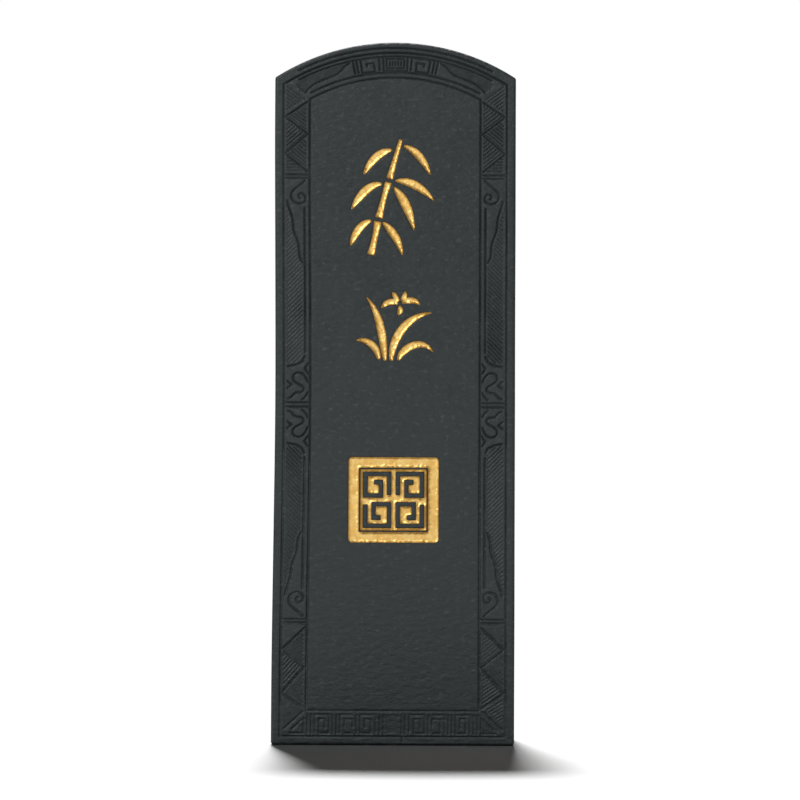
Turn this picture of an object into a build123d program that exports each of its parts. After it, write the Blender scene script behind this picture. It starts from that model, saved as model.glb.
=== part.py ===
"""Ink stick: one moulded cake of ink, with gold paint laid in the marks pressed into its face.

Frame: millimetres, the stick stands on its flat grinding end with its arched head up.
+X is the width, +Y points out of the back, +Z is the length.
The origin is the middle of the grinding end.
"""

import os
from math import atan2, cos, degrees, hypot, radians, sin, sqrt

from build123d import *

# Driving dimensions of the cake.
WIDTH = 39.25
HEIGHT = 114.0
THICKNESS = 13.0
HEAD_RADIUS = 36.0  # the arched head
SHOULDER_RADIUS = 0.9  # where the arch meets the long sides
FOOT_RADIUS = 0.35  # the two corners of the grinding end
FACE_EDGE_RADIUS = 0.55  # the bead that runs round both broad faces

# Engraving on the front face.
GROOVE_DEPTH = 0.26
GROOVE_WIDTH = 0.30
RIM_GROOVE_DEPTH = 0.32
HATCH_DEPTH = 0.17
HATCH_WIDTH = 0.20
HATCH_PITCH = 0.50
HATCH_MARGIN = 0.28  # bare ink between a hatched field's outline and its strokes
SHORTEST_STROKE = 0.25
GROUND_DEPTH = 0.12  # the sunk ground over the clouds and in the foot band's middle block
RIM_SIDE = 1.45  # outer edge to rim groove, at the sides
RIM_FOOT = 1.35
RIM_HEAD = 1.75
BEAD_INSET = 0.95  # the line on the rim of the head
HEAD_LINE_INSET = 2.37  # the line that bounds the head band, inside the rim groove
PANEL_HALF = 13.9  # half the width of the plain panel
PANEL_FOOT = 5.5
PANEL_HEAD = 108.2
PANEL_HEAD_RADIUS = 28.6
DOUBLE_LINE = 0.85  # gap between the panel's groove and the line beside it
HEAD_LINE_ARC = (62, 56)  # start and sweep, in degrees, of the lines that follow the head
BEAD_ARC = (63, 54)
BACK_PANEL_DEPTH = 0.30
BACK_PANEL_INSET = 2.2

NICK_X = 1.55  # a small nick across the rim at the grinding end
NICK_WIDTH = 0.28
NICK_DEPTH = 0.35

# Gold paint.
RECESS_DEPTH = 0.50
GILT_THICKNESS = 0.20
SEAL_WIDTH = 14.5
SEAL_HEIGHT = 13.7
SEAL_MIDDLE = 39.5  # height of the seal's middle
SEAL_CORNER_RADIUS = 0.55
SEAL_BAND = 1.6
SEAL_WALL = 0.36  # the thin line of bare ink between band and field
FRET_WIDTH = 0.82  # the raised bare-ink fret in the seal's field
FRET_MARGIN = 0.3  # gold between the fret and the edge of its column

HALF = WIDTH / 2
FRONT_Y = -THICKNESS / 2
HEAD_CENTRE = HEIGHT - HEAD_RADIUS
RIM_X = HALF - RIM_SIDE
BAND_INNER = PANEL_HALF + 0.3  # the ornament starts this far out from the middle
BAND_OUTER = RIM_X - 0.3

FRONT = Plane(origin=(0, FRONT_Y, 0), x_dir=(1, 0, 0), z_dir=(0, -1, 0))
BACK = Plane(origin=(0, -FRONT_Y, 0), x_dir=(-1, 0, 0), z_dir=(0, 1, 0))


def arch_outline(half_width, foot, radius, centre):
    """Lines of a tall panel with a flat foot and an arched head, round a centre on the middle line."""
    spring = centre + sqrt(radius**2 - half_width**2)
    Polyline((half_width, spring), (half_width, foot), (-half_width, foot), (-half_width, spring))
    ThreePointArc((-half_width, spring), (0, centre + radius), (half_width, spring))


def mirrored(strokes):
    """The strokes, and the same strokes on the other side of the middle line."""
    return strokes + [[(-x, z) for x, z in stroke] for stroke in strokes]


def arched(points, middle_radius):
    """Points drawn on a level band, bent to follow the head: x runs along it and z is the height on it."""
    centre = PANEL_HEAD - PANEL_HEAD_RADIUS
    bent = []
    for along, height in points:
        turn = along / middle_radius
        bent.append(((height - centre) * sin(turn), centre + (height - centre) * cos(turn)))
    return bent


def hatch(corners, angle, margin=HATCH_MARGIN):
    """Parallel strokes that fill a closed outline, each stopping a margin short of it."""
    turn = radians(angle)
    along = (cos(turn), sin(turn))
    across = (-sin(turn), cos(turn))
    levels = [x * across[0] + z * across[1] for x, z in corners]
    strokes = []
    level = min(levels) + HATCH_PITCH * 0.6
    while level < max(levels):
        cuts = []
        for (x0, z0), (x1, z1) in zip(corners, corners[1:] + corners[:1]):
            start = x0 * across[0] + z0 * across[1] - level
            end = x1 * across[0] + z1 * across[1] - level
            if (start < 0) != (end < 0):
                share = start / (start - end)
                x = x0 + (x1 - x0) * share
                z = z0 + (z1 - z0) * share
                cuts.append(x * along[0] + z * along[1])
        cuts.sort()
        for low, high in zip(cuts[::2], cuts[1::2]):
            if high - low > 2 * margin + SHORTEST_STROKE:
                ends = (low + margin, high - margin)
                strokes.append(
                    [(e * along[0] + level * across[0], e * along[1] + level * across[1]) for e in ends]
                )
        level += HATCH_PITCH
    return strokes


def zigzag_hatching(zigzag):
    """Hatching in each triangle that a zigzag makes across the side band."""
    strokes = []
    for one, two, three in zip(zigzag, zigzag[1:], zigzag[2:]):
        slope = degrees(atan2(three[1] - two[1], three[0] - two[0]))
        strokes += hatch([one, two, three], slope)
    return strokes


def cross_lines(*heights):
    """Level lines across the side band."""
    return [[(BAND_INNER - 0.1, z), (BAND_OUTER + 0.1, z)] for z in heights]


# The side band, drawn on the right. Its middle is a pair of lines with a cloud scroll each side.
BAND_MIDDLE = 54.85
UPPER_ZIGZAG = [(BAND_INNER, 104.2), (BAND_OUTER, 101.7), (BAND_INNER, 98.9), (BAND_OUTER, 95.7)]
UPPER_ZIGZAG += [(BAND_INNER, 92.7)]
UPPER_CORNER = (BAND_OUTER, 92.6)  # between the zigzag's end and the line across the band
LOWER_ZIGZAG = [(BAND_INNER, 18.9), (BAND_OUTER, 15.3), (BAND_INNER, 12.4), (BAND_OUTER, 8.3)]
LOWER_ZIGZAG += [(BAND_INNER, 5.8)]
LOWER_CORNER = (BAND_OUTER, 19.3)
UPPER_REACH = 37.0  # from the band's middle to the first cross line above
LOWER_REACH = 34.6


def compartment(direction, reach):
    """One long compartment: cloud scroll, stem, hatched leaf edge, and a curled hook at its far end."""

    def near(points):
        return [(x, BAND_MIDDLE + direction * z) for x, z in points]

    def far(points):
        return [(x, BAND_MIDDLE + direction * (reach - z)) for x, z in points]

    scroll = near([(14.2, 3.5), (14.7, 4.5), (15.3, 5.1), (15.9, 5.2), (16.6, 4.8), (16.7, 4.2)])
    scroll += near([(15.7, 3.3), (15.0, 2.7), (15.1, 2.2), (16.3, 1.9), (16.9, 1.3), (17.6, 1.0)])
    curl = near([(14.2, 2.1), (14.7, 1.3), (15.3, 0.75)])
    hook = far([(14.6, 0.4), (15.5, 1.3), (16.9, 2.8), (16.8, 3.6), (15.7, 4.3), (14.7, 3.9)])
    hook += far([(14.8, 2.9), (15.5, 2.7), (15.7, 3.3), (15.3, 3.5)])
    leaf = far([(17.6, 3.7), (17.3, 4.9), (16.7, 6.9), (16.5, 8.8)])
    leaf += far([(15.8, 10.7), (15.5, 13.2), (15.0, 14.0)])
    curves = [scroll, curl, hook, leaf]

    rim_notch = near([(17.7, 3.9), (16.9, 3.25), (17.7, 2.6)])
    panel_notch = near([(14.15, 6.8), (14.8, 5.9), (14.15, 5.0)])
    end = near([(14.75, 8.0), (15.2, 7.0), (16.1, 6.5), (17.7, 6.2)])
    stem = near([(14.75, 8.4)]) + far([(14.75, 4.9)])
    lines = [rim_notch, panel_notch, end, stem]

    field = far([(17.75, 3.9), (17.4, 5.4), (17.0, 7.0), (16.8, 8.9)])
    field += far([(16.1, 10.9), (15.8, 13.4), (15.0, 14.6)])
    field += near([(15.0, 8.3), (16.1, 6.8), (17.75, 6.5)])
    return lines, curves, hatch(field, -45 * direction, margin=0.12)


UPPER_LINES, UPPER_CURVES, UPPER_HATCH = compartment(1, UPPER_REACH)
LOWER_LINES, LOWER_CURVES, LOWER_HATCH = compartment(-1, LOWER_REACH)

# The band under the head: a middle block of bars, a square spiral each side, then clouds.
ARCH_LOW = PANEL_HEAD + DOUBLE_LINE + 0.3
ARCH_HIGH = HEIGHT - HEAD_LINE_INSET
ARCH_MIDDLE_RADIUS = PANEL_HEAD_RADIUS + 2.4


def square_spiral(left, right, low, high, turns=-1):
    """A square spiral that starts at a lower corner and winds inwards."""
    step = (right - left) / 3.4
    inner = [(left, low), (left, high), (right, high), (right, low), (left + step, low)]
    inner += [(left + step, high - step), (right - step, high - step), (right - step, low + step)]
    if turns > 0:
        return [(left + right - x, z) for x, z in inner]
    return inner


def head_band():
    """Straight strokes of the band under the head, on the right, bent to follow it."""
    bars = [[(x, ARCH_LOW + 0.7), (x, ARCH_HIGH - 0.7)] for x in (0.45, 0.9)]
    block = []
    for half, low, high in ((1.95, ARCH_LOW, ARCH_HIGH), (1.45, ARCH_LOW + 0.4, ARCH_HIGH - 0.4)):
        block.append([(0.05, high), (half, high), (half, low), (0.05, low)])
    spiral = [square_spiral(2.6, 5.6, ARCH_LOW, ARCH_HIGH)]
    dividers = [[(x, ARCH_LOW), (x, ARCH_HIGH)] for x in (6.25, 6.8)]
    return [arched(stroke, ARCH_MIDDLE_RADIUS) for stroke in bars + block + spiral + dividers]


CLOUD_LINE = [(7.3, 110.5), (8.2, 110.0), (8.9, 109.2), (9.9, 108.5)]
CLOUD_LINE += [(11.9, 107.7), (13.4, 106.9), (14.6, 105.7)]
CLOUD_GROUND = CLOUD_LINE + [(15.5, 106.2), (16.1, 107.0), (14.6, 107.9), (12.8, 108.8), (10.3, 109.8)]
SHOULDER_FIELD = [(BAND_INNER + 0.1, 104.5), (BAND_OUTER, 106.9), (BAND_OUTER, 102.2)]

# The band above the grinding end: square spirals, an angular fret and groups of bars.
FOOT_LOW = RIM_FOOT + 0.6
FOOT_HIGH = PANEL_FOOT - 0.6


def foot_band():
    """Straight strokes of the band above the grinding end, on the right."""
    bars = [[(x, FOOT_LOW - 0.15), (x, FOOT_HIGH + 0.15)] for x in (1.45, 2.05, 5.8, 9.0, 9.6, 13.1, 13.7)]
    spirals = [square_spiral(2.7, 5.2, FOOT_LOW, FOOT_HIGH)]
    spirals += [square_spiral(10.2, 12.5, FOOT_LOW, FOOT_HIGH, turns=1)]
    inner_high = FOOT_HIGH - 0.75
    fret = [[(6.4, FOOT_HIGH), (8.45, FOOT_HIGH), (8.45, FOOT_LOW)]]
    fret += [[(6.4, FOOT_LOW), (7.7, FOOT_LOW), (7.7, inner_high), (6.4, inner_high), (6.4, 2.85)]]
    corner = [[(14.3, FOOT_HIGH - 0.4), (14.3, FOOT_LOW), (16.7, FOOT_LOW)]]
    corner += [[(14.6, 4.1), (16.3, 2.4)]]
    mitre = [[(14.3, 5.5), (17.6, 2.5)]]
    return bars + spirals + fret + corner + mitre


FOOT_BLOCK_WIDTH = 2.3
CORNER_FIELD = [(BAND_INNER + 0.2, 5.9), (BAND_OUTER, 2.9), (BAND_OUTER, 7.9)]
MIDDLE_STROKES = [arched([(0, ARCH_LOW + 0.7), (0, ARCH_HIGH - 0.7)], ARCH_MIDDLE_RADIUS)]
STRAIGHT_STROKES = [UPPER_ZIGZAG, LOWER_ZIGZAG] + cross_lines(92.25, 91.7, 55.2, 54.5, 20.2, 19.6)
STRAIGHT_STROKES += UPPER_LINES + LOWER_LINES + head_band() + foot_band()
CURVED_STROKES = UPPER_CURVES + LOWER_CURVES + [CLOUD_LINE]
HATCH_STROKES = zigzag_hatching(UPPER_ZIGZAG + [UPPER_CORNER]) + zigzag_hatching(LOWER_ZIGZAG)
HATCH_STROKES += hatch(SHOULDER_FIELD, 36) + UPPER_HATCH + LOWER_HATCH
RIGHT_HATCH_STROKES = zigzag_hatching([LOWER_CORNER] + LOWER_ZIGZAG[:2]) + hatch(CORNER_FIELD, 32)


def brush_outline(centre_line, widths):
    """Closed outline of one brush stroke, from its centre line and its width at each point of it."""
    left = []
    right = []
    last = len(centre_line) - 1
    for index, ((x, z), width) in enumerate(zip(centre_line, widths)):
        x0, z0 = centre_line[max(index - 1, 0)]
        x1, z1 = centre_line[min(index + 1, last)]
        length = hypot(x1 - x0, z1 - z0)
        side_x = -(z1 - z0) / length * width / 2
        side_z = (x1 - x0) / length * width / 2
        left.append((x + side_x, z + side_z))
        right.append((x - side_x, z - side_z))
    Spline(*left)
    Spline(*right)
    for one, other in ((left[0], right[0]), (left[-1], right[-1])):
        if hypot(one[0] - other[0], one[1] - other[1]) > 0.01:
            Line(one, other)


# Brush strokes of the two gilt sprigs: centre line, then the stroke's width at each of its points.
BAMBOO_STEMS = [
    ([(-3.9, 79.3), (-3.3, 81.8), (-2.8, 84.6)], [1.1, 0.8, 1.1]),
    ([(-2.6, 85.3), (-1.9, 88.2), (-1.1, 91.0)], [1.1, 0.75, 1.0]),
    ([(-0.9, 91.7), (-0.1, 94.6), (0.9, 98.0)], [0.95, 0.65, 0.45]),
]
BAMBOO_LEAVES = [
    ([(0.1, 91.3), (1.6, 91.2), (3.6, 90.4), (6.3, 88.1)], [0.25, 1.0, 1.2, 0.0]),
    ([(-0.1, 90.2), (0.8, 89.0), (1.9, 87.0), (3.1, 83.2)], [0.25, 1.1, 1.35, 0.0]),
    ([(-2.2, 90.8), (-3.6, 90.5), (-5.2, 89.3), (-7.1, 86.6)], [0.25, 1.0, 1.2, 0.0]),
    ([(1.5, 97.0), (2.7, 96.4), (4.1, 95.1), (5.7, 92.3)], [0.25, 0.9, 1.1, 0.0]),
    ([(-0.6, 96.3), (-1.9, 96.0), (-3.4, 94.9), (-5.1, 92.3)], [0.25, 0.95, 1.15, 0.0]),
    ([(-1.9, 84.5), (-1.0, 83.6), (0.1, 82.1), (1.2, 79.2)], [0.25, 0.95, 1.15, 0.0]),
    ([(-3.9, 84.8), (-5.0, 84.3), (-6.1, 83.1), (-7.2, 80.7)], [0.25, 0.9, 1.1, 0.0]),
]
ORCHID_LEAVES = [
    ([(-2.5, 62.3), (-3.1, 64.0), (-4.4, 65.1), (-6.2, 65.3)], [0.35, 1.0, 0.85, 0.0]),
    ([(-1.5, 62.1), (-1.9, 65.5), (-2.7, 69.0), (-4.6, 72.4)], [0.4, 1.15, 1.0, 0.0]),
    ([(-0.5, 62.1), (0.2, 65.4), (2.2, 68.2), (6.0, 69.8)], [0.4, 1.2, 1.05, 0.0]),
    ([(0.6, 62.2), (2.0, 64.0), (3.9, 64.7), (6.3, 63.4)], [0.35, 1.05, 0.95, 0.0]),
]
ORCHID_PETALS = [
    ([(0.5, 71.3), (-0.2, 71.6), (-1.2, 71.4), (-2.1, 70.6)], [0.25, 0.8, 0.8, 0.0]),
    ([(0.65, 71.8), (0.15, 72.4), (-0.3, 73.2)], [0.25, 0.7, 0.0]),
    ([(1.15, 71.8), (1.6, 72.5), (1.8, 73.3)], [0.25, 0.7, 0.0]),
    ([(1.3, 71.4), (2.1, 71.8), (3.1, 71.8), (4.1, 71.1)], [0.25, 0.8, 0.8, 0.0]),
    ([(0.85, 70.9), (0.95, 70.2), (0.6, 69.4)], [0.25, 0.75, 0.0]),
]

SEAL_OPENING_WIDTH = SEAL_WIDTH - 2 * SEAL_BAND
SEAL_OPENING_HEIGHT = SEAL_HEIGHT - 2 * SEAL_BAND
FIELD_WIDTH = SEAL_OPENING_WIDTH - 2 * SEAL_WALL
FIELD_HEIGHT = SEAL_OPENING_HEIGHT - 2 * SEAL_WALL


def seal_frets():
    """The raised fret of the seal's field: a square spiral in each quarter."""
    inset = FRET_MARGIN + FRET_WIDTH / 2
    left = inset
    right = FIELD_WIDTH / 2 - inset
    low = SEAL_MIDDLE + inset
    top = SEAL_MIDDLE + FIELD_HEIGHT / 2 - inset
    step = (right - left) / 2.9
    upper = [(left, low), (left, top), (right, top), (right, low)]
    upper += [(left + step, low), (left + step, top - step), (right - step, top - step)]
    lower = [(left + right - x, 2 * SEAL_MIDDLE - z) for x, z in upper]
    return mirrored([upper, lower])


def seal_field_sketch():
    """The gilt ground of the seal's field, with the fret left out of it."""
    with BuildSketch() as field:
        with Locations((0, SEAL_MIDDLE)):
            Rectangle(FIELD_WIDTH, FIELD_HEIGHT)
        with BuildSketch(mode=Mode.SUBTRACT):
            for stroke in seal_frets():
                with BuildLine():
                    Polyline(*stroke)
            trace(line_width=FRET_WIDTH)
    return field.sketch


def seal_frame_sketch():
    """The gilt band round the seal."""
    with BuildSketch() as band:
        with Locations((0, SEAL_MIDDLE)):
            RectangleRounded(SEAL_WIDTH, SEAL_HEIGHT, SEAL_CORNER_RADIUS)
            Rectangle(SEAL_OPENING_WIDTH, SEAL_OPENING_HEIGHT, mode=Mode.SUBTRACT)
    return band.sketch


def brush_sketch(*strokes):
    """One or more brush strokes as a flat shape."""
    with BuildSketch() as shape:
        for centre_line, widths in strokes:
            with BuildLine():
                brush_outline(centre_line, widths)
            make_face()
    return shape.sketch


GILT_SHAPES = {}
for number, stem in enumerate(BAMBOO_STEMS, 1):
    GILT_SHAPES[f"gilt_bamboo_stem_{number}"] = brush_sketch(stem)
for number, leaf in enumerate(BAMBOO_LEAVES, 1):
    GILT_SHAPES[f"gilt_bamboo_leaf_{number}"] = brush_sketch(leaf)
for number, leaf in enumerate(ORCHID_LEAVES, 1):
    GILT_SHAPES[f"gilt_orchid_leaf_{number}"] = brush_sketch(leaf)
GILT_SHAPES["gilt_orchid_flower"] = brush_sketch(*ORCHID_PETALS)
GILT_SHAPES["gilt_seal_frame"] = seal_frame_sketch()
GILT_SHAPES["gilt_seal_field"] = seal_field_sketch()

os.makedirs("parts", exist_ok=True)

with BuildPart() as ink_body:
    with BuildSketch(FRONT):
        with BuildLine():
            arch_outline(HALF, 0, HEAD_RADIUS, HEAD_CENTRE)
        make_face()
    extrude(amount=-THICKNESS)
    fillet(ink_body.edges().filter_by(Axis.Y).group_by(Axis.Z)[-1], radius=SHOULDER_RADIUS)
    fillet(ink_body.edges().filter_by(Axis.Y).group_by(Axis.Z)[0], radius=FOOT_RADIUS)
    front, *_, back = ink_body.faces().sort_by(Axis.Y)
    fillet(front.outer_wire().edges() + back.outer_wire().edges(), radius=FACE_EDGE_RADIUS)

    # The back is plain, with a shallow sunk panel inside its rim.
    with BuildSketch(BACK):
        with BuildLine():
            inset = BACK_PANEL_INSET
            arch_outline(HALF - inset, inset, HEAD_RADIUS - inset, HEAD_CENTRE)
        make_face()
    extrude(amount=-BACK_PANEL_DEPTH, mode=Mode.SUBTRACT)

    # The rim groove, deeper than the ornament.
    with BuildSketch(FRONT):
        with BuildLine():
            arch_outline(RIM_X, RIM_FOOT, HEAD_RADIUS - RIM_HEAD, HEAD_CENTRE)
        trace(line_width=GROOVE_WIDTH)
    extrude(amount=-RIM_GROOVE_DEPTH, mode=Mode.SUBTRACT)

    # The panel's outline, the second lines beside it, and the ornament.
    with BuildSketch(FRONT):
        with BuildLine():
            arch_outline(PANEL_HALF, PANEL_FOOT, PANEL_HEAD_RADIUS, PANEL_HEAD - PANEL_HEAD_RADIUS)
        with BuildLine():
            CenterArc((0, PANEL_HEAD - PANEL_HEAD_RADIUS), PANEL_HEAD_RADIUS + DOUBLE_LINE, *HEAD_LINE_ARC)
        with BuildLine():
            CenterArc((0, HEAD_CENTRE), HEAD_RADIUS - BEAD_INSET, *BEAD_ARC)
        with BuildLine():
            CenterArc((0, HEAD_CENTRE), HEAD_RADIUS - HEAD_LINE_INSET, *HEAD_LINE_ARC)
        for stroke in MIDDLE_STROKES + mirrored(STRAIGHT_STROKES):
            with BuildLine():
                Polyline(*stroke)
        for stroke in mirrored(CURVED_STROKES):
            with BuildLine():
                Spline(*stroke)
        trace(line_width=GROOVE_WIDTH)
    extrude(amount=-GROOVE_DEPTH, mode=Mode.SUBTRACT)

    with BuildSketch(FRONT):
        for stroke in mirrored(HATCH_STROKES) + RIGHT_HATCH_STROKES:
            with BuildLine():
                Polyline(*stroke)
        trace(line_width=HATCH_WIDTH)
    extrude(amount=-HATCH_DEPTH, mode=Mode.SUBTRACT)

    with BuildSketch(FRONT):
        for outline in mirrored([CLOUD_GROUND]):
            with BuildLine():
                Polyline(*outline, close=True)
            make_face()
        with Locations((0, (FOOT_LOW + FOOT_HIGH) / 2)):
            Rectangle(FOOT_BLOCK_WIDTH, FOOT_HIGH - FOOT_LOW)
    extrude(amount=-GROUND_DEPTH, mode=Mode.SUBTRACT)

    with BuildSketch(FRONT):
        with Locations((NICK_X, RIM_FOOT / 2)):
            Rectangle(NICK_WIDTH, RIM_FOOT)
    extrude(amount=-NICK_DEPTH, mode=Mode.SUBTRACT)

    # The recesses that hold the gold paint.
    with BuildSketch(FRONT):
        add(list(GILT_SHAPES.values()))
    extrude(amount=-RECESS_DEPTH, mode=Mode.SUBTRACT)
ink_body.part.label = "ink_body"
export_step(ink_body.part, "parts/ink_body.step")

# Each fill of gold paint lies on the floor of its own recess.
for name, shape in GILT_SHAPES.items():
    with BuildPart() as gilt_fill:
        with BuildSketch(FRONT.offset(-RECESS_DEPTH)):
            add(shape)
        extrude(amount=GILT_THICKNESS)
    gilt_fill.part.label = name
    export_step(gilt_fill.part, f"parts/{name}.step")
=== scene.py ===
"""Looks of the ink stick: a worn, softly engraved cake of ink with gold paint in its pressed marks.

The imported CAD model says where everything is. The fine relief of the front face is read from the
CAD mesh, softened as a mould leaves it, and made into one closed mesh. Lengths are in metres,
unless a name ends in _MM, and depths are counted from the front face into the cake.
"""

from math import atan2, cos, pi, radians, sin, sqrt

import bpy
import numpy as np
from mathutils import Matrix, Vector


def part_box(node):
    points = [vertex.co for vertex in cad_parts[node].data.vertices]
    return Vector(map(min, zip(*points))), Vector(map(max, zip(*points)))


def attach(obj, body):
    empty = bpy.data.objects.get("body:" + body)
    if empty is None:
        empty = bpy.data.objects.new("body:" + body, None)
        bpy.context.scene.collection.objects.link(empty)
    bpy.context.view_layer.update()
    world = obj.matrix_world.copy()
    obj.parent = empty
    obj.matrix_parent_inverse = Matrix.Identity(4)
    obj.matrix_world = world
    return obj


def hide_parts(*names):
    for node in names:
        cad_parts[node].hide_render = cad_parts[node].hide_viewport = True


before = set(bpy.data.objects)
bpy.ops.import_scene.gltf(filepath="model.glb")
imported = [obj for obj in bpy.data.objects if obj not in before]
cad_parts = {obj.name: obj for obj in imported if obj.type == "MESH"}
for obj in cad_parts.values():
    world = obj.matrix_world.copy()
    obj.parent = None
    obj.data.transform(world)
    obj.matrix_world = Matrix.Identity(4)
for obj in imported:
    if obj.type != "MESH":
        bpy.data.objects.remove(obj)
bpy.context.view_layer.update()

MM = 0.001
LOW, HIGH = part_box("ink_body")
WIDTH = HIGH.x - LOW.x
THICKNESS = HIGH.y - LOW.y
HEIGHT = HIGH.z - LOW.z
HEAD_RADIUS = 36 * MM  # the arched head, as in the design
HEAD_CENTRE = HIGH.z - HEAD_RADIUS
EDGE = 0.55 * MM  # rounding of both broad faces' edges
RIM_LIFT = 0.05 * MM  # the whole front relief lies this deep, which is taken back at the very rim
GROUND_DEPTH = 0.12 * MM  # the CAD's sunk grounds and its hatching, told apart by their depths
HATCH_DEPTH = 0.17 * MM
DEPTH_MARGIN = 0.01 * MM  # depths closer than this are the same
FLATNESS = 0.001 * MM  # a triangle is level if its corners' depths differ by less
RASTER = 0.05 * MM  # pitch of the relief read from the CAD
SEED = 20

GILT_NODES = sorted(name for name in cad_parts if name.startswith("gilt_"))


# ---------------------------------------------------------------- reading the CAD's relief

ON_EDGE = 1e-9  # share of a triangle's area by which a point on its edge may seem to be outside
INSIDE_LAST = 1.001  # keeps a sampled point just inside the raster's last cell


def raster_shape():
    """Rows and columns of the relief raster, which covers the front face."""
    return int(round(HEIGHT / RASTER)) + 1, int(round(WIDTH / RASTER)) + 1


def level_triangles(node, facing):
    """Corners of a node's triangles that lie level and face the front (-1) or the back (1)."""
    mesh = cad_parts[node].data
    mesh.calc_loop_triangles()
    points = np.array([v.co for v in mesh.vertices], float)
    corners = points[np.array([t.vertices for t in mesh.loop_triangles])]
    normal = np.cross(corners[:, 1] - corners[:, 0], corners[:, 2] - corners[:, 0])
    steep = np.ptp(corners[:, :, 1], axis=1) > FLATNESS
    return corners[(normal[:, 1] * facing > 0) & ~steep]


def draw_triangles(raster, corners, values):
    """Writes each triangle's value into the raster cells whose centres it covers."""
    for triangle, value in zip(corners, values):
        x = (triangle[:, 0] - LOW.x) / RASTER
        z = (triangle[:, 2] - LOW.z) / RASTER
        left, right = int(np.ceil(x.min())), int(np.floor(x.max()))
        low, high = int(np.ceil(z.min())), int(np.floor(z.max()))
        if left > right or low > high:
            continue
        column = np.arange(left, right + 1)[None, :]
        row = np.arange(low, high + 1)[:, None]
        turn = (x[1] - x[0]) * (z[2] - z[0]) - (x[2] - x[0]) * (z[1] - z[0])
        inside = np.ones((high - low + 1, right - left + 1), bool)
        for a, b in ((0, 1), (1, 2), (2, 0)):
            side = (x[b] - x[a]) * (row - z[a]) - (z[b] - z[a]) * (column - x[a])
            inside &= side * turn >= -ON_EDGE * abs(turn)
        raster[low : high + 1, left : right + 1][inside] = value


def face_relief(facing):
    """Depth of every level floor below one broad face of the cake."""
    raster = np.zeros(raster_shape(), np.float32)
    face = LOW.y if facing < 0 else HIGH.y
    corners = level_triangles("ink_body", facing)
    depth = np.abs(corners[:, 0, 1] - face)
    sunk = depth > DEPTH_MARGIN
    draw_triangles(raster, corners[sunk], depth[sunk])
    return raster


def footprint(node):
    """1 where a gilt fill lies, 0 elsewhere."""
    raster = np.zeros(raster_shape(), np.float32)
    corners = level_triangles(node, -1)
    draw_triangles(raster, corners, np.ones(len(corners)))
    return raster


def sample(raster, x, z):
    """The raster's value between its cells, at points of the face."""
    column = np.clip((x - LOW.x) / RASTER, 0, raster.shape[1] - INSIDE_LAST)
    row = np.clip((z - LOW.z) / RASTER, 0, raster.shape[0] - INSIDE_LAST)
    c, r = column.astype(int), row.astype(int)
    u, v = column - c, row - r
    low = raster[r, c] * (1 - u) + raster[r, c + 1] * u
    high = raster[r + 1, c] * (1 - u) + raster[r + 1, c + 1] * u
    return low * (1 - v) + high * v


# ---------------------------------------------------------------- softening and wear


def blurred(field, across, along=None):
    """Gaussian blur, with its spread across X and along Z."""
    along = across if along is None else along
    rows, columns = field.shape
    wave_z = np.fft.fftfreq(rows, RASTER)[:, None]
    wave_x = np.fft.rfftfreq(columns, RASTER)[None, :]
    keep = np.exp(-2 * pi**2 * ((wave_z * along) ** 2 + (wave_x * across) ** 2))
    return np.fft.irfft2(np.fft.rfft2(field) * keep, s=field.shape).astype(np.float32)


def grain(seed, across, along=None):
    """Smooth noise of unit spread, with features about as large as the given blur."""
    field = np.random.default_rng(SEED + seed).standard_normal(raster_shape())
    field = blurred(field, across, along)
    return field / field.std()


def rising(value, start, over):
    """0 up to the start, then evenly up to 1 over a length."""
    return np.clip((value - start) / over, 0, 1)


def falling(value, end, over):
    """1 at first, then evenly down over a length, to 0 at the end."""
    return np.clip((end - value) / over, 0, 1)


RECESS_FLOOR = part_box("gilt_seal_frame")[1].y - LOW.y  # how deep the marks are pressed
IN_RECESS = 0.9  # share of that depth beyond which a floor is a mark's, not the engraving's
GILT_MASKS = {node: footprint(node) for node in GILT_NODES}

GROUND_ROUGH_MM = 0.02  # unevenness of the sunk grounds
HATCH_LEFT, HATCH_SPREAD = 0.95, 0.25  # share of the hatching's depth that uneven wear leaves
HATCH_LIMITS = (0.4, 1.3)
RIM_BAND = 2.6 * MM  # the rims' grooves lie this close to the sides
LEFT_WEAR, RIGHT_WEAR = 0.4, 0.25  # shares of depth lost by the rims' grooves
LEFT_WEAR_START, LEFT_WEAR_RISE = 15 * MM, 30 * MM  # heights over which the left one sets in
FOOT_BAND = 7 * MM
FOOT_WEAR = 0.50
WEAR_BLEND = MM

LINE_BLUR = 0.045 * MM
LINE_UNEVEN = 0.08  # spread of the lines' depth, as a share
SHOULDER_BLUR, SHOULDER_SHARE = 0.3 * MM, 0.15  # the face dips a little towards each line
RECESS_BLUR = 0.055 * MM
LIP_BLUR, LIP_MM = 0.3 * MM, 0.10  # and towards each mark
SWELL_MM = 0.015  # broad unevenness of the whole face
PUCKER_MM = 0.0022  # and its finer unevenness


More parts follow.
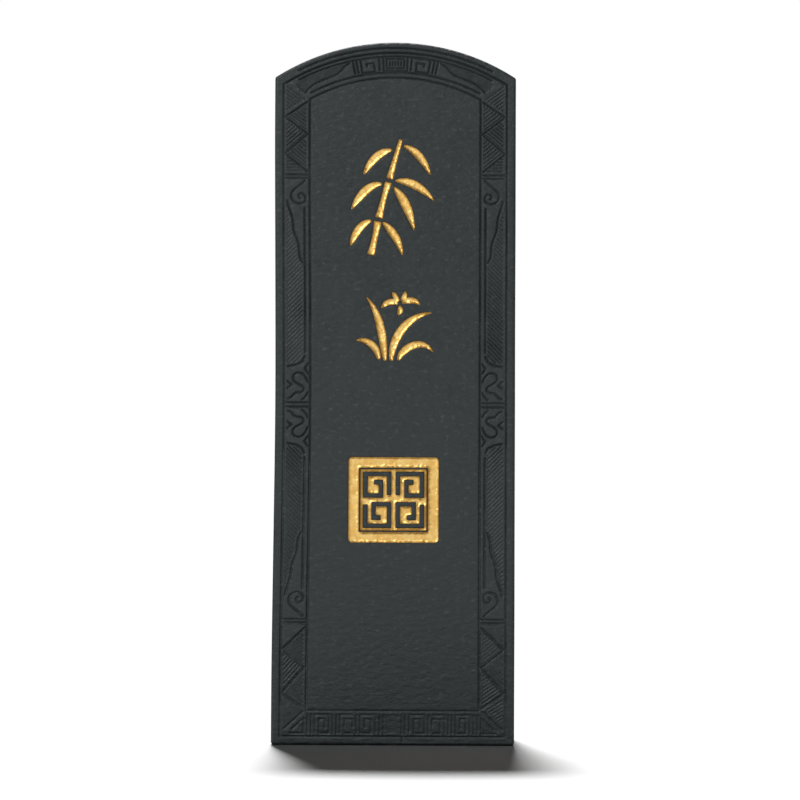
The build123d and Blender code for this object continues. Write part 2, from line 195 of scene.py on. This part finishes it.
def worn_engraving():
    """Depth of the border's engraving, left unevenly shallow by wear."""
    floors = face_relief(-1)
    engraving = np.where(floors > RECESS_FLOOR * IN_RECESS, 0, floors)
    ground = np.abs(engraving - GROUND_DEPTH) < DEPTH_MARGIN
    roughness = ground * grain(8, 0.28 * MM) * GROUND_ROUGH_MM * MM
    hatching = np.abs(engraving - HATCH_DEPTH) < DEPTH_MARGIN
    left_over = np.clip(HATCH_LEFT + HATCH_SPREAD * grain(1, 2.4 * MM, 4 * MM), *HATCH_LIMITS)
    engraving = np.where(hatching, engraving * left_over, engraving) + roughness

    rows, columns = raster_shape()
    from_foot = np.arange(rows)[:, None] * RASTER
    from_left = np.arange(columns)[None, :] * RASTER
    from_right = WIDTH - from_left
    left_groove = falling(from_left, RIM_BAND, WEAR_BLEND)
    rubbed = left_groove * rising(from_foot, LEFT_WEAR_START, LEFT_WEAR_RISE)
    engraving = engraving * (1 - LEFT_WEAR * rubbed)
    engraving = engraving * (1 - FOOT_WEAR * falling(from_foot, FOOT_BAND, WEAR_BLEND))
    return engraving * (1 - RIGHT_WEAR * falling(from_right, RIM_BAND, WEAR_BLEND))


def ink_relief():
    """Depth of the cake's front: the engraving as mould and wear leave it, and the recesses."""
    engraving = worn_engraving()
    recess = sum(GILT_MASKS.values())
    lines = blurred(engraving, LINE_BLUR) * (1.0 + LINE_UNEVEN * grain(9, 1.2 * MM))
    shoulders = blurred(engraving, SHOULDER_BLUR) * SHOULDER_SHARE
    pressed = blurred(recess, RECESS_BLUR) * RECESS_FLOOR
    lips = blurred(recess, LIP_BLUR) * (1 - recess) * LIP_MM * MM
    swell = grain(2, 6 * MM, 9 * MM) * SWELL_MM * MM
    swell = swell + grain(3, 1.3 * MM, 0.9 * MM) * PUCKER_MM * MM
    return lines + shoulders + pressed + lips + swell + RIM_LIFT


STREAK_MM = 0.006
RAGGED = 0.05 * grain(4, 0.16 * MM)  # raggedness of the paint's rim, as a share of its blurred mask
STREAKS = grain(5, 0.22 * MM, 0.06 * MM) * STREAK_MM * MM + grain(6, 0.09 * MM) * STREAK_MM * MM
PAINT_TOP = 0.16 * MM  # depth of the paint's surface at its rim
PAINT_BOWL_MM = 0.24  # and how much lower its middle lies
BOWL_BLUR = 0.24 * MM
BOWL_START, BOWL_RANGE = 0.42, 0.55  # shares of the blurred mask over which the bowl deepens


def gilt_relief(mask):
    """Depth of a gilt fill: paint lining a rounded recess, higher at its walls and streaked."""
    bowl = np.clip((blurred(mask, BOWL_BLUR) + RAGGED - BOWL_START) / BOWL_RANGE, 0, 1)
    return PAINT_TOP + bowl * PAINT_BOWL_MM * MM + STREAKS


# ---------------------------------------------------------------- the cake's mesh

FULL_PITCH = 0.1 * MM  # of the front face's grid
COARSER = 4  # steps of the front's grid to one of the walls' and the back's
FAN = 6  # parts of the turn at each upright corner
EDGE_STEPS = 7  # rings in each rounded edge
WALL_TOP = EDGE + 1.2 * MM  # depth at which the coarser rings of the wall begin
WALL_ROWS = 24
MOST_TRIANGLES = 196_000
BACK_BLUR = 0.12 * MM
BACK_SWELL_MM = 0.02
BACK_OFFSET = 0.06 * MM

BOW = 0.06 * MM  # how far the walls stand in at mid thickness
RIPPLE = 0.012 * MM
RIPPLE_UP, RIPPLE_THROUGH = 7.1 * MM, 2.9 * MM  # its lengths per radian, up and through the cake
RIPPLE_TILT_X, RIPPLE_TILT_Z = 90, 60  # radians to a metre
WAIST = 0.34 * MM  # how far the left side stands in at about half height
WAIST_START, WAIST_RISE = 8 * MM, 96 * MM  # its extent in height
WAIST_INSET, WAIST_BLEND = 8 * MM, 6 * MM  # and from the middle line outwards


def mesh_object(name, points, faces):
    """A smooth-shaded mesh object in the scene."""
    mesh = bpy.data.meshes.new(name)
    mesh.from_pydata(points, [], faces)
    mesh.validate()
    mesh.shade_smooth()
    thing = bpy.data.objects.new(name, mesh)
    bpy.context.scene.collection.objects.link(thing)
    return thing


def thin_out(thing, most_triangles):
    """Collapses a mesh's flattest stretches until it has at most so many triangles."""
    thing.data.calc_loop_triangles()
    count = len(thing.data.loop_triangles)
    if count <= most_triangles:
        return
    modifier = thing.modifiers.new("thin", "DECIMATE")
    modifier.ratio = most_triangles / count
    with bpy.context.temp_override(object=thing, active_object=thing, selected_objects=[thing]):
        bpy.ops.object.modifier_apply(modifier=modifier.name)
    thing.data.shade_smooth()


def head_height(x):
    """Height of the flat of a broad face at x, inside its rounded edge."""
    radius = HEAD_RADIUS - EDGE
    return HEAD_CENTRE + np.sqrt(radius**2 - x**2)


def face_grid(columns, rows):
    """X and Z of a grid that fills the flat of a broad face and follows its arched head."""
    x = np.linspace(LOW.x + EDGE, HIGH.x - EDGE, columns + 1)[None, :].repeat(rows + 1, axis=0)
    share = np.linspace(0, 1, rows + 1)[:, None]
    foot = LOW.z + EDGE
    return x, foot + share * (head_height(x) - foot)


def border(columns, rows):
    """Grid indices along the foot, right, head and left of a face, with corners in both sides."""
    across = columns + 1
    foot = list(range(across))
    right = [row * across + columns for row in range(rows + 1)]
    head = [rows * across + column for column in range(columns, -1, -1)]
    left = [row * across for row in range(rows, -1, -1)]
    return [foot, right, head, left]


def outward(side, x, z):
    """Unit direction out of the face across one side of its border."""
    if side == 0:
        return 0.0, -1.0
    if side == 1:
        return 1.0, 0.0
    if side == 3:
        return -1.0, 0.0
    length = sqrt(x**2 + (z - HEAD_CENTRE) ** 2)
    return x / length, (z - HEAD_CENTRE) / length


def border_loop(x, z):
    """A face grid's border as (grid index, x, z, outward x, outward z), fanned at its corners."""
    loop = []
    for number, side in enumerate(border(x.shape[1] - 1, x.shape[0] - 1)):
        for index in side:
            px, pz = x.flat[index], z.flat[index]
            loop.append((index, px, pz, *outward(number, px, pz)))
        corner = loop[-1]
        following = outward((number + 1) % 4, corner[1], corner[2])
        start = atan2(corner[4], corner[3])
        turn = (atan2(following[1], following[0]) - start + pi) % (2 * pi) - pi
        for part in range(1, FAN):
            angle = start + turn * part / FAN
            loop.append((*corner[:3], cos(angle), sin(angle)))
    return loop


def quarter_profile(front):
    """Outset and depth of the rounded edge, from the flat of a broad face to the side wall."""
    profile = []
    for step in range(1, EDGE_STEPS + 1):
        angle = pi / 2 * step / EDGE_STEPS
        depth = EDGE * (1 - cos(angle))
        profile.append((EDGE * sin(angle), depth if front else THICKNESS - depth))
    return profile


def wall_bow(x, z, depth):
    """How far a side wall stands in from true: a cast cake shrinks a little as it dries."""
    middle = 1 - (2 * depth / THICKNESS - 1) ** 2
    along = sin(z / RIPPLE_UP + x * RIPPLE_TILT_X)
    ripple = along * sin(depth / RIPPLE_THROUGH + z * RIPPLE_TILT_Z)
    return BOW * middle + RIPPLE * (1 + ripple)


def waist(x, z):
    """How far the left side stands in from true: the cake warped a little there as it dried."""
    rise = min(max((z - WAIST_START) / WAIST_RISE, 0), 1)
    leftward = min(max((-x - WAIST_INSET) / WAIST_BLEND, 0), 1)
    return WAIST * sin(pi * rise) ** 2 * leftward


class Shell:
    """Points and faces of the cake, gathered as two broad faces and the rings between them."""

    def __init__(self):
        self.points = []
        self.faces = []

    def add_face(self, x, y, z, flip):
        """Adds a grid of quads and returns the index of its first vertex."""
        first = len(self.points)
        self.points += np.stack([x, y, z], axis=-1).reshape(-1, 3).tolist()
        rows, across = x.shape
        cell = np.arange(rows - 1)[:, None] * across + np.arange(across - 1)[None, :]
        cell = cell.ravel() + first
        corners = [cell, cell + 1, cell + across + 1, cell + across]
        if flip:
            corners.reverse()
        self.faces += np.stack(corners, axis=1).tolist()
        return first

    def add_ring(self, loop, outset, depth):
        """Adds one ring of vertices round the cake and returns their indices."""
        start = len(self.points)
        for _, px, pz, nx, nz in loop:
            reach = outset - wall_bow(px, pz, depth) * outset / EDGE
            self.points.append((px + nx * reach, LOW.y + depth, max(pz + nz * reach, LOW.z)))
        return list(range(start, start + len(loop)))

    def bridge(self, one, other):
        """Quads between two rings of one count, or triangles where a ring stays on one vertex."""
        count = len(one)
        for i in range(count):
            j = (i + 1) % count
            quad = [one[i], other[i], other[j], one[j]]
            face = [v for k, v in enumerate(quad) if v != quad[k - 1]]
            if len(face) > 2:
                self.faces.append(face)

    def coarsen(self, fine, coarse, sides):
        """Joins a fine ring to a coarse one with the same corner fans; sides pairs their steps."""
        fine_at = 0
        coarse_at = 0
        for fine_side, coarse_side in sides:
            for segment in range(coarse_side):
                low = fine_at + segment * COARSER
                top_edge = [fine[low + k] for k in range(COARSER + 1)]
                at = coarse_at + segment
                self.faces.append(top_edge[::-1] + [coarse[at], coarse[at + 1]])
            fine_at += fine_side
            coarse_at += coarse_side
            for _ in range(FAN):
                after_fine = (fine_at + 1) % len(fine)
                after_coarse = (coarse_at + 1) % len(coarse)
                quad = [fine[fine_at], coarse[coarse_at], coarse[after_coarse], fine[after_fine]]
                self.faces.append(quad)
                fine_at = after_fine
                coarse_at = after_coarse


def build_cake(relief, pitch):
    """The cake as one closed mesh: engraved front, rounded edges, walls and a sunk back panel."""
    shell = Shell()
    back_columns = int(round((WIDTH - 2 * EDGE) / pitch / COARSER))
    back_rows = int(round((HEIGHT - 2 * EDGE) / pitch / COARSER))
    columns, rows = back_columns * COARSER, back_rows * COARSER

    x, z = face_grid(columns, rows)
    shell.add_face(x, LOW.y + sample(relief, x, z), z, flip=False)
    fine_loop = border_loop(x, z)

    x, z = face_grid(back_columns, back_rows)
    back_floor = blurred(face_relief(1), BACK_BLUR)
    back_swell = grain(7, 5 * MM, 8 * MM) * BACK_SWELL_MM * MM + BACK_OFFSET
    first_back = shell.add_face(x, HIGH.y - sample(back_floor + back_swell, x, z), z, flip=True)
    coarse_loop = border_loop(x, z)

    previous = [entry[0] for entry in fine_loop]
    for outset, depth in quarter_profile(front=True):
        current = shell.add_ring(fine_loop, outset, depth + RIM_LIFT * (1 - depth / EDGE))
        shell.bridge(previous, current)
        previous = current
    current = shell.add_ring(coarse_loop, EDGE, WALL_TOP)
    shell.coarsen(previous, current, ((columns, back_columns), (rows, back_rows)) * 2)
    previous = current

    wall = []
    for row in range(1, WALL_ROWS + 1):
        wall.append((EDGE, WALL_TOP + (THICKNESS - EDGE - WALL_TOP) * row / WALL_ROWS))
    for outset, depth in reversed(quarter_profile(front=False)[:-1]):
        wall.append((outset, depth - RIM_LIFT * (1 - outset / EDGE)))
    for outset, depth in wall:
        current = shell.add_ring(coarse_loop, outset, depth)
        shell.bridge(previous, current)
        previous = current
    shell.bridge(previous, [first_back + entry[0] for entry in coarse_loop])

    points = [(px + waist(px, pz), py, pz) for px, py, pz in shell.points]
    cake = mesh_object("cake_of_ink", points, shell.faces)
    thin_out(cake, MOST_TRIANGLES)
    return cake


# ---------------------------------------------------------------- the gilt fills' meshes

FILL_BLUR, FILL_CUT = 0.06 * MM, 0.06  # a fill reaches to where its blurred mask falls to the cut
FILL_KEY = 0.03 * MM  # how far a fill's underside is let into the ink


def build_fill(node, stride):
    """One gilt fill: a thin closed plate with the paint on top and its rim under the ink."""
    mask = GILT_MASKS[node]
    reach = blurred(mask, FILL_BLUR) > FILL_CUT
    rows = np.flatnonzero(reach.any(axis=1))
    columns = np.flatnonzero(reach.any(axis=0))
    row = np.arange(rows[0] - stride, rows[-1] + 2 * stride, stride)
    column = np.arange(columns[0] - stride, columns[-1] + 2 * stride, stride)
    kept = reach[np.ix_(row, column)]
    cell = kept[:-1, :-1] & kept[1:, :-1] & kept[:-1, 1:] & kept[1:, 1:]
    used = np.zeros_like(kept)
    for part in (used[:-1, :-1], used[1:, :-1], used[:-1, 1:], used[1:, 1:]):
        part |= cell
    below = int(used.sum())
    index = np.full(kept.shape, -1)
    index[used] = np.arange(below)
    r, c = np.nonzero(used)
    x = LOW.x + column[c] * RASTER
    z = LOW.z + row[r] * RASTER
    top = LOW.y + gilt_relief(mask)[row[r], column[c]]
    under = np.full(len(x), LOW.y + RECESS_FLOOR + FILL_KEY)
    points = np.stack([x, top, z], axis=-1).tolist() + np.stack([x, under, z], axis=-1).tolist()

    faces = []
    for i, j in zip(*np.nonzero(cell)):
        a, b, d, e = index[i, j], index[i, j + 1], index[i + 1, j + 1], index[i + 1, j]
        faces.append([a, b, d, e])
        faces.append([below + e, below + d, below + b, below + a])
        neighbours = ((i - 1, j, a, b), (i + 1, j, d, e), (i, j - 1, e, a), (i, j + 1, b, d))
        for next_i, next_j, one, other in neighbours:
            if not cell[next_i, next_j]:
                faces.append([other, one, below + one, below + other])
    faces = [[int(v) for v in face] for face in faces]
    return mesh_object(node.replace("gilt", "gold"), points, faces)


# ---------------------------------------------------------------- materials

INK_DARK = (0.0115, 0.0138, 0.0146)
INK_PALE = (0.0165, 0.0188, 0.0194)
INK_WOVEN = (0.0205, 0.0232, 0.0238)
# painted highlight: the lighter colour on the raised specks
INK_FLECK_HIGHLIGHT = (0.036, 0.039, 0.0395)
# painted shade: the colour of the ink in its deeper lines, darker where shade falls
INK_PAINTED_LINE_SHADE = (0.0085, 0.0102, 0.0109)
INK_TINT = (0.86, 0.98, 1.0, 1.0)
GOLD_DEEP = (0.77, 0.465, 0.126)
GOLD_BRIGHT = (0.875, 0.595, 0.203)
# thin paint and painted shade: the darker orange at the recess walls
GOLD_THIN_AND_SHADED = (0.36, 0.19, 0.036)
PAPER_DARK = (0.90, 0.90, 0.90)
PAPER_PALE = (0.92, 0.92, 0.92)
NOISE_SPREAD = (0.3, 0.7)  # where most of a noise's values lie


class Nodes:
    """A few short ways to add and link shader nodes."""

    def __init__(self, name):
        self.material = bpy.data.materials.new(name)
        self.material.use_nodes = True
        self.tree = self.material.node_tree
        self.shader = self.tree.nodes["Principled BSDF"]
        self.place = self.add("ShaderNodeTexCoord").outputs["Object"]

    def add(self, kind, **inputs):
        """Adds a node and sets its inputs, named with _ for a space."""
        node = self.tree.nodes.new(kind)
        for name, value in inputs.items():
            node.inputs[name.replace("_", " ")].default_value = value
        return node

    def link(self, output, socket):
        """Links an output to an input."""
        self.tree.links.new(output, socket)

    def noise(self, scale, detail=2.0, stretch=(1, 1, 1)):
        """Noise in the object's own space; scale is in features per metre."""
        mapping = self.add("ShaderNodeMapping", Scale=stretch)
        self.link(self.place, mapping.inputs["Vector"])
        node = self.add("ShaderNodeTexNoise", Scale=scale, Detail=detail)
        self.link(mapping.outputs["Vector"], node.inputs["Vector"])
        return node.outputs["Fac"]

    def ranged(self, value, source, target=(0, 1)):
        """A value carried evenly from one range to another, and held at its ends."""
        node = self.add("ShaderNodeMapRange", From_Min=source[0], From_Max=source[1])
        node.inputs["To Min"].default_value = target[0]
        node.inputs["To Max"].default_value = target[1]
        self.link(value, node.inputs["Value"])
        return node.outputs["Result"]

    def maths(self, operation, *values):
        """A Math node on linked outputs and plain numbers."""
        node = self.add("ShaderNodeMath")
        node.operation = operation
        for socket, value in zip(node.inputs, values):
            if isinstance(value, (int, float)):
                socket.default_value = value
            else:
                self.link(value, socket)
        return node.outputs["Value"]

    def mix(self, factor, one, other):
        """A mix of two colours, each linked or plain."""
        node = self.add("ShaderNodeMix")
        node.data_type = "RGBA"
        self.link(factor, node.inputs["Factor"])
        for socket, value in ((node.inputs[6], one), (node.inputs[7], other)):
            if isinstance(value, tuple):
                socket.default_value = (*value, 1.0)
            else:
                self.link(value, socket)
        return node.outputs[2]

    def bump(self, height, distance, strength=1.0, under=None):
        """A bump of a height in metres, over an earlier one if given."""
        node = self.add("ShaderNodeBump", Strength=strength, Distance=distance)
        self.link(height, node.inputs["Height"])
        if under is not None:
            self.link(under, node.inputs["Normal"])
        return node.outputs["Normal"]


def depths(start, end):
    """The Y range of two depths below the front face."""
    return LOW.y + start, LOW.y + end


def hollow_share(m):
    """Shader value of 1 in the face's deeper lines and 0 on its even ground and rounded edges: it
    places the painted shade in the lines and their extra roughness.
    """
    place = m.add("ShaderNodeSeparateXYZ")
    m.link(m.place, place.inputs["Vector"])
    x, y, z = place.outputs
    side = m.maths("SUBTRACT", WIDTH / 2, m.maths("ABSOLUTE", x))
    flat = m.add("ShaderNodeCombineXYZ")
    m.link(x, flat.inputs["X"])
    m.link(m.maths("SUBTRACT", z, HEAD_CENTRE), flat.inputs["Z"])
    reach = m.add("ShaderNodeVectorMath")
    reach.operation = "LENGTH"
    m.link(flat.outputs["Vector"], reach.inputs[0])
    head = m.maths("SUBTRACT", HEAD_RADIUS, reach.outputs["Value"])
    inset = m.maths("MINIMUM", m.maths("MINIMUM", side, head), z)
    inner = m.ranged(inset, (0.7 * MM, 0.9 * MM))
    deep = m.ranged(y, depths(0.13 * MM, 0.33 * MM))
    front = m.ranged(y, depths(1 * MM, 2 * MM), (1, 0))
    return m.maths("MULTIPLY", m.maths("MULTIPLY", inner, deep), front)


def ink_material():
    """Dry moulded ink: near black, a little blue-green, with a fine cross grain, pale flecks lit
    with a painted highlight, and painted shade in its deeper lines.
    """
    m = Nodes("dry_ink")
    cloud = m.noise(160, 3.0)
    weave = m.noise(850, 2.5, stretch=(1.0, 1.0, 1.9))
    flecks = m.noise(1100, 2.0, stretch=(1.0, 1.0, 1.5))
    tone = m.mix(m.ranged(cloud, NOISE_SPREAD), INK_DARK, INK_PALE)
    tone = m.mix(m.ranged(weave, (0.35, 0.7), (0, 0.6)), tone, INK_WOVEN)
    # painted highlight: lighter ink on the same specks that the fine bump raises
    tone = m.mix(m.ranged(flecks, (0.58, 0.74), (0, 0.8)), tone, INK_FLECK_HIGHLIGHT)
    hollow = hollow_share(m)
    # painted shade: darker ink in the deeper lines, where shade falls
    tone = m.mix(hollow, tone, INK_PAINTED_LINE_SHADE)
    m.link(tone, m.shader.inputs["Base Color"])
    open_rough = m.ranged(m.maths("ADD", cloud, weave), (0.7, 1.3), (0.48, 0.62))
    rough = m.maths("ADD", open_rough, m.maths("MULTIPLY", hollow, 0.3))
    m.link(rough, m.shader.inputs["Roughness"])
    m.shader.inputs["Specular IOR Level"].default_value = 0.30
    m.shader.inputs["Specular Tint"].default_value = INK_TINT
    coarse = m.bump(m.ranged(weave, NOISE_SPREAD), 0.065 * MM)
    fine = m.bump(m.ranged(flecks, (0.58, 0.75)), 0.03 * MM, under=coarse)
    m.link(fine, m.shader.inputs["Normal"])
    return m.material


def gold_material():
    """Gold paint brushed into a recess: bright where it pools, thin, orange and darker at the
    walls, partly from thin paint and partly painted shade.
    """
    m = Nodes("gold_paint")
    patch = m.noise(900, 3.0)
    speck = m.noise(5200, 3.0)
    place = m.add("ShaderNodeSeparateXYZ")
    m.link(m.place, place.inputs["Vector"])
    thick = m.ranged(place.outputs["Y"], depths(0.17 * MM, 0.34 * MM))
    pooled = m.mix(m.ranged(patch, (0.38, 0.60)), GOLD_DEEP, GOLD_BRIGHT)
    # darker towards the recess walls: thin paint, and painted shade where the walls shade the gold
    m.link(m.mix(thick, GOLD_THIN_AND_SHADED, pooled), m.shader.inputs["Base Color"])
    m.shader.inputs["Metallic"].default_value = 0.9
    m.link(m.ranged(speck, NOISE_SPREAD, (0.34, 0.5)), m.shader.inputs["Roughness"])
    coarse = m.bump(patch, 0.05 * MM, 0.5)
    fine = m.bump(speck, 0.012 * MM, under=coarse)
    m.link(fine, m.shader.inputs["Normal"])
    return m.material


def floor_material():
    """Plain white studio paper."""
    m = Nodes("white_paper")
    m.link(m.mix(m.noise(30), PAPER_DARK, PAPER_PALE), m.shader.inputs["Base Color"])
    m.shader.inputs["Roughness"].default_value = 0.8
    m.shader.inputs["Specular IOR Level"].default_value = 0.2
    return m.material


# ---------------------------------------------------------------- stage

VIEW_WIDTH = 129.45 * MM  # how much of the front face's plane the picture spans
AIM_X, AIM_Z = 0.955 * MM, 55.663 * MM  # the point of that plane that the camera looks at
CAMERA_DISTANCE = 390 * MM
CAMERA_HEIGHT = 40 * MM
CAMERA_ROLL = radians(0.27)
SENSOR_WIDTH = 36  # millimetres, as Blender counts it and the lens
NEAREST, FARTHEST = 0.01, 20  # what the camera sees between
FLOOR_REACH = 3


def aim(thing, target):
    """Turns a camera or lamp to look at a point."""
    thing.rotation_euler = (Vector(target) - thing.location).to_track_quat("-Z", "Y").to_euler()


def make_camera():
    """Square on to the front face, from a little below its middle."""
    camera = bpy.data.objects.new("camera", bpy.data.cameras.new("camera"))
    bpy.context.scene.collection.objects.link(camera)
    bpy.context.scene.camera = camera
    camera.location = (AIM_X, LOW.y - CAMERA_DISTANCE, CAMERA_HEIGHT)
    aim(camera, (AIM_X, LOW.y, AIM_Z))
    camera.rotation_euler.rotate_axis("Z", CAMERA_ROLL)
    span = sqrt(CAMERA_DISTANCE**2 + (AIM_Z - CAMERA_HEIGHT) ** 2)
    camera.data.sensor_width = SENSOR_WIDTH
    camera.data.lens = SENSOR_WIDTH * span / VIEW_WIDTH
    camera.data.clip_start = NEAREST
    camera.data.clip_end = FARTHEST


def make_lamp(name, place, size, watts, target, lit):
    """A square soft box that lights one collection only, so that the floor keeps its shadow."""
    lamp = bpy.data.objects.new(name, bpy.data.lights.new(name, "AREA"))
    bpy.context.scene.collection.objects.link(lamp)
    lamp.data.shape = "SQUARE"
    lamp.data.size = size
    lamp.data.energy = watts
    lamp.location = place
    lamp.visible_camera = False
    lamp.light_linking.receiver_collection = lit
    aim(lamp, target)


def make_sun(direction, strength, spread):
    """A broad light from above and behind, which whitens the floor and casts the shadow."""
    sun = bpy.data.objects.new("overhead", bpy.data.lights.new("overhead", "SUN"))
    bpy.context.scene.collection.objects.link(sun)
    sun.data.energy = strength
    sun.data.angle = spread
    sun.location = direction
    aim(sun, (0, 0, 0))


def make_sky(light_strength):
    """Even white to look at, and a dim even light."""
    world = bpy.data.worlds.new("studio")
    bpy.context.scene.world = world
    world.use_nodes = True
    tree = world.node_tree
    shown = tree.nodes["Background"]
    shown.inputs["Strength"].default_value = 1.0
    shown.inputs["Color"].default_value = (1, 1, 1, 1)
    light = tree.nodes.new("ShaderNodeBackground")
    light.inputs["Strength"].default_value = light_strength
    path = tree.nodes.new("ShaderNodeLightPath")
    choose = tree.nodes.new("ShaderNodeMixShader")
    tree.links.new(path.outputs["Is Camera Ray"], choose.inputs["Fac"])
    tree.links.new(light.outputs["Background"], choose.inputs[1])
    tree.links.new(shown.outputs["Background"], choose.inputs[2])
    tree.links.new(choose.outputs["Shader"], tree.nodes["World Output"].inputs["Surface"])


def make_floor():
    """A broad sheet of white paper."""
    signs = ((-1, -1), (1, -1), (1, 1), (-1, 1))
    corners = [(x * FLOOR_REACH, y * FLOOR_REACH, 0) for x, y in signs]
    floor = mesh_object("floor", corners, [(0, 1, 2, 3)])
    floor.data.materials.append(floor_material())


def make_lights(whole, ink_only):
    """Soft boxes on the object, the main one at the upper left, and a sun on everything."""
    make_sky(light_strength=0.065)
    make_sun(direction=(-0.035, 0.37, 1), strength=3.85, spread=radians(7))
    make_lamp("key", (-0.30, -0.40, 0.42), 0.40, watts=3.6, target=(0, 0, 0.085), lit=whole)
    make_lamp("front", (0.5, -1.0, 0.16), 2.0, watts=5.4, target=(0, 0, 0.06), lit=whole)
    make_lamp("back", (0.3, 1.2, 0.6), 1.6, watts=5.0, target=(0, 0, 0.06), lit=whole)
    make_lamp("foot", (0, -0.08, 0.025), 0.05, watts=0.009, target=(0, 0, 0.003), lit=ink_only)
    bpy.context.scene.view_settings.view_transform = "Standard"


# ---------------------------------------------------------------- making it

object_pieces = bpy.data.collections.new("object_pieces")
ink_pieces = bpy.data.collections.new("ink_pieces")
make_camera()
make_floor()
make_lights(object_pieces, ink_pieces)

ink = ink_material()
gold = gold_material()
cake = build_cake(ink_relief(), FULL_PITCH)
cake.data.materials.append(ink)
object_pieces.objects.link(cake)
ink_pieces.objects.link(cake)
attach(cake, "root")
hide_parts("ink_body")
for node in GILT_NODES:
    fill = build_fill(node, 2 if "seal" in node else 1)
    fill.data.materials.append(gold)
    object_pieces.objects.link(fill)
    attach(fill, "root")
    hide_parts(node)
